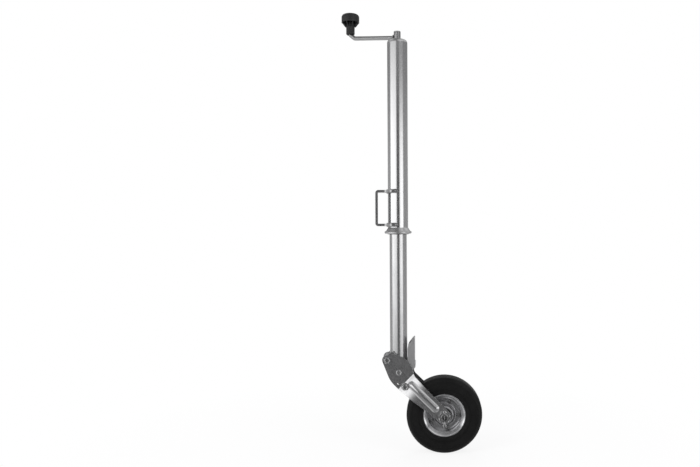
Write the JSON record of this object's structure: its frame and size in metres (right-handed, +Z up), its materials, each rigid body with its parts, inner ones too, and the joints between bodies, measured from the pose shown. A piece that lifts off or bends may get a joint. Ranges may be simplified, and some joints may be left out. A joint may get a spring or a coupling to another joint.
{
  "type": "jockey wheel",
  "caption": "Drawbar jockey wheel: cranked telescopic tube with grip handle, folding pressed fork with prop latch, and a solid rubber wheel on a split steel rim.",
  "frame": {"origin": "on the tube's axis, in the middle of the stretch of outer tube that the drawbar clamp grips", "axes": "+Z up the tube towards the crank, +X towards the wheel side of the fork, +Y across the fork away from the viewer"},
  "size_m": [0.4168, 0.1464, 1.3116],
  "materials": {
    "tube_zinc": "bright zinc plated",
    "leg_zinc": "zinc plated, faint spangle",
    "pressed_zinc": "zinc plated pressing",
    "rim_zinc": "zinc plated",
    "bright_zinc": "bright zinc plated",
    "crank_zinc": "zinc plated",
    "bearing_steel": "oiled steel",
    "nut_iron": "greased",
    "guide_plastic": "moulded",
    "knob_plastic": "fine moulded grain",
    "tyre_rubber": "solid rubber, smooth sidewall"
  },
  "bodies": {
    "outer": {"outer_tube": "tube_zinc", "guide_bush": "guide_plastic", "top_cap": "tube_zinc", "grip_handle": "tube_zinc", "race_upper": "bearing_steel"},
    "crank": {"spindle": "bearing_steel", "race_lower": "bearing_steel", "thrust_balls": "bearing_steel", "crank_hub": "crank_zinc", "crank_pin": "bright_zinc", "crank_arm": "crank_zinc", "knob_clip": "bright_zinc"},
    "knob": {"knob": "knob_plastic"},
    "leg": {"inner_tube": "leg_zinc", "spindle_nut": "nut_iron", "guide_ring": "guide_plastic", "ear_near": "leg_zinc", "ear_far": "leg_zinc", "pivot_sleeve": "leg_zinc", "pivot_bolt": "bright_zinc", "pivot_nut": "bright_zinc", "pivot_washers": "bright_zinc"},
    "fork": {"fork_plate_near": "pressed_zinc", "fork_plate_far": "pressed_zinc", "cross_bolt": "bright_zinc", "cross_nut": "bright_zinc", "cross_washers": "bright_zinc", "cross_spacer": "pressed_zinc", "latch_studs": "pressed_zinc", "axle": "bright_zinc", "axle_pins": "bright_zinc", "axle_spacers": "bright_zinc", "axle_washers": "bright_zinc", "axle_nuts": "bright_zinc", "bearing_inner_near": "bearing_steel", "bearing_inner_far": "bearing_steel", "bearing_spacer": "bearing_steel"},
    "latch": {"latch_channel": "pressed_zinc", "latch_prop": "pressed_zinc"},
    "wheel": {"tyre": "tyre_rubber", "rim_near": "rim_zinc", "rim_far": "rim_zinc", "rim_bolts": "bright_zinc", "rim_nuts": "bright_zinc", "bearing_outer_near": "bearing_steel", "bearing_outer_far": "bearing_steel"}
  },
  "joints": [
    {"name": "crank_turn", "type": "hinge", "parent": "outer", "child": "crank", "pos_m": [0, 0, 0.2355], "axis": [0, 0, 1], "range_deg": [0, 27990]},
    {"name": "knob_spin", "type": "hinge", "parent": "crank", "child": "knob", "pos_m": [-0.14454, 0.05869, 0.2645], "axis": [0, 0, 1], "continuous": true},
    {"name": "leg_slide", "type": "slide", "parent": "outer", "child": "leg", "axis": [0, 0, 1], "range_m": [0, 0.311]},
    {"name": "fork_fold", "type": "hinge", "parent": "leg", "child": "fork", "pos_m": [-0.0327, 0, -0.707], "axis": [0, -1, 0], "range_deg": [0, 64]},
    {"name": "latch_swing", "type": "hinge", "parent": "fork", "child": "latch", "pos_m": [0.00131, 0, -0.74373], "axis": [0, -1, 0], "range_deg": [-64, 0]},
    {"name": "wheel_spin", "type": "hinge", "parent": "fork", "child": "wheel", "pos_m": [0.1341, 0, -0.87069], "axis": [0, -1, 0], "continuous": true}
  ],
  "couplings": [
    {"joint": "leg_slide", "follows": "crank_turn", "m_per_rad": 0.00063662},
    {"joint": "latch_swing", "follows": "fork_fold", "ratio": -1}
  ]
}
